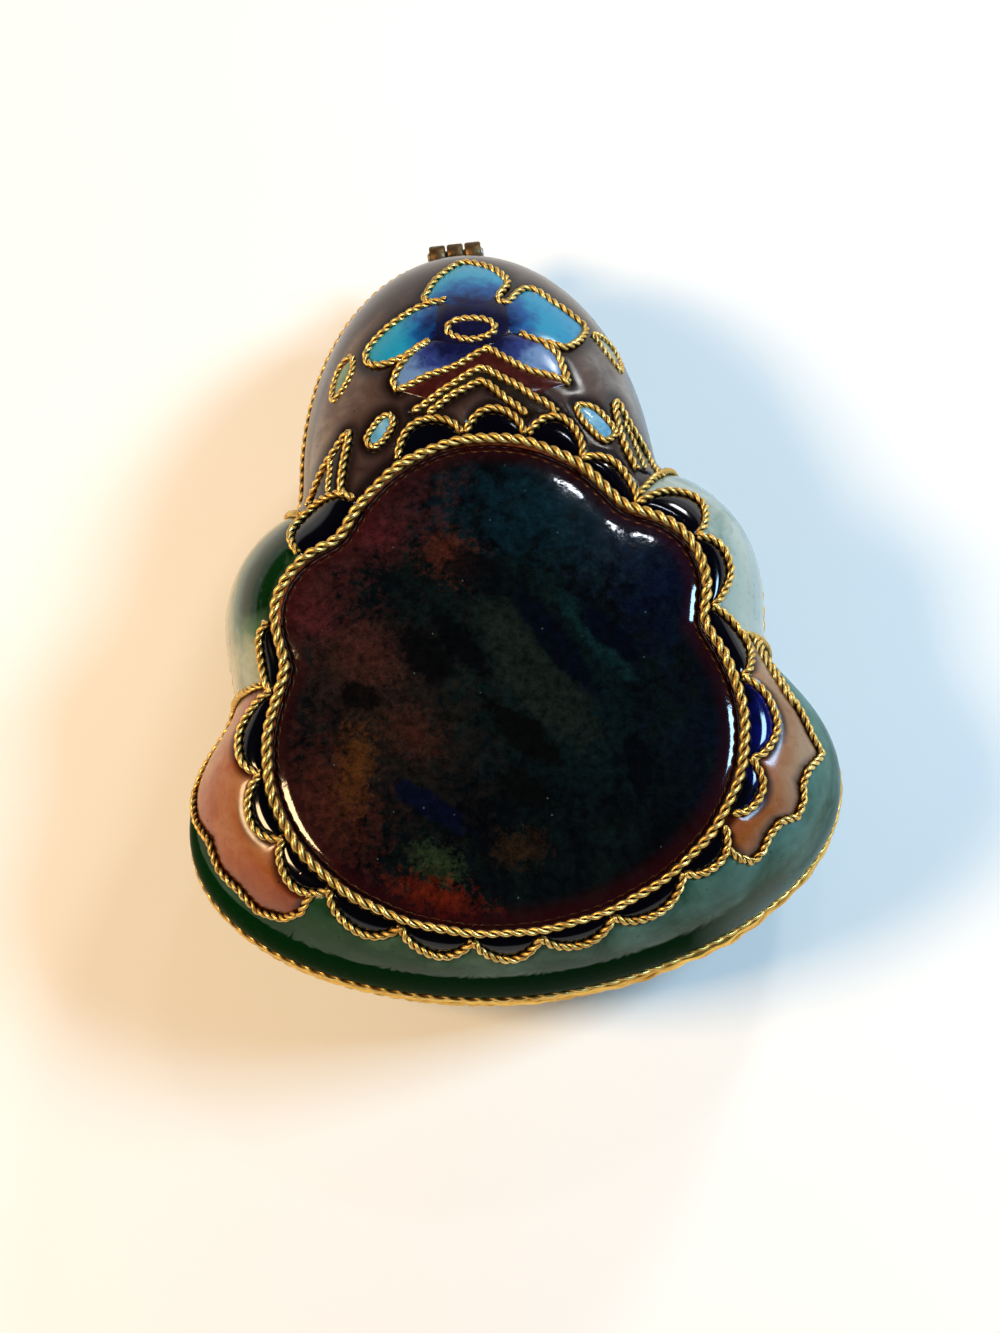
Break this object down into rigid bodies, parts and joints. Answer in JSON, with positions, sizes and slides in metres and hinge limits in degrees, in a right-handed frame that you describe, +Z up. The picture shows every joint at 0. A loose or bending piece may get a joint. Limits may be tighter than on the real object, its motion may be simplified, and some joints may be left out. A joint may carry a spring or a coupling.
{
  "type": "trinket box",
  "caption": "Hinged enamelled trinket box with a wide skirt, rounded shoulders, a narrow flowered dome and a dark medallion edged with gilt rope.",
  "frame": {"origin": "on the surface that the box stands on, under the middle of its bounding box", "axes": "+Y towards the narrow domed end with the hinge, +Z up"},
  "size_m": [0.054, 0.0666, 0.0267],
  "materials": {
    "copper": "formed copper sheet",
    "gilt": "gilt wire and band, lightly worn",
    "pin_steel": "plain drawn wire",
    "dark_enamel": "glossy dark enamel",
    "navy_enamel": "glossy navy enamel",
    "mauve_enamel": "glossy grey mauve enamel",
    "green_enamel": "glossy green enamel",
    "sage_enamel": "glossy sage enamel",
    "terracotta_enamel": "glossy terracotta enamel",
    "turquoise_enamel": "glossy turquoise enamel",
    "periwinkle_enamel": "glossy periwinkle enamel",
    "maroon_enamel": "glossy maroon enamel",
    "blue_enamel": "glossy blue counter enamel"
  },
  "bodies": {
    "base": {"base_shell": "copper", "base_lining": "blue_enamel", "base_side_enamel": "green_enamel", "base_rim": "gilt", "base_collar": "gilt", "foot_ring": "gilt", "base_underside_enamel": "blue_enamel", "hinge_knuckle_left": "gilt", "hinge_knuckle_right": "gilt", "hinge_pin": "pin_steel"},
    "lid": {"hinge_knuckle_lid": "gilt", "lid_shell": "copper", "lid_lining": "blue_enamel", "lid_rim": "gilt", "medallion_enamel": "dark_enamel", "medallion_rope": "gilt", "scallop_enamel": "navy_enamel", "scallop_wire": "gilt", "dome_enamel": "mauve_enamel", "skirt_enamel": "green_enamel", "shoulder_enamel_left": "sage_enamel", "shoulder_enamel_right": "sage_enamel", "cheek_enamel_left": "terracotta_enamel", "cheek_enamel_right": "terracotta_enamel", "waist_wire_left": "gilt", "waist_wire_right": "gilt", "dome_edge_wire_left": "gilt", "dome_edge_wire_right": "gilt", "cheek_wire_left": "gilt", "cheek_wire_right": "gilt", "flower_centre_enamel": "navy_enamel", "flower_centre_wire": "gilt", "petal_top": "turquoise_enamel", "petal_left": "turquoise_enamel", "petal_right": "turquoise_enamel", "petal_lower_left": "periwinkle_enamel", "petal_lower_right": "periwinkle_enamel", "petal_wire_top": "gilt", "petal_wire_left": "gilt", "petal_wire_right": "gilt", "petal_wire_lower_left": "gilt", "petal_wire_lower_right": "gilt", "chevron_wire_outer": "gilt", "chevron_wire_inner": "gilt", "leaf_left": "periwinkle_enamel", "leaf_right": "periwinkle_enamel", "diamond_left": "turquoise_enamel", "diamond_right": "turquoise_enamel", "spear_left": "maroon_enamel", "spear_right": "maroon_enamel"}
  },
  "joints": [
    {"name": "lid_hinge", "type": "hinge", "parent": "base", "child": "lid", "pos_m": [0, 0.03228, 0.011], "axis": [-1, 0, 0], "range_deg": [0, 100]}
  ]
}
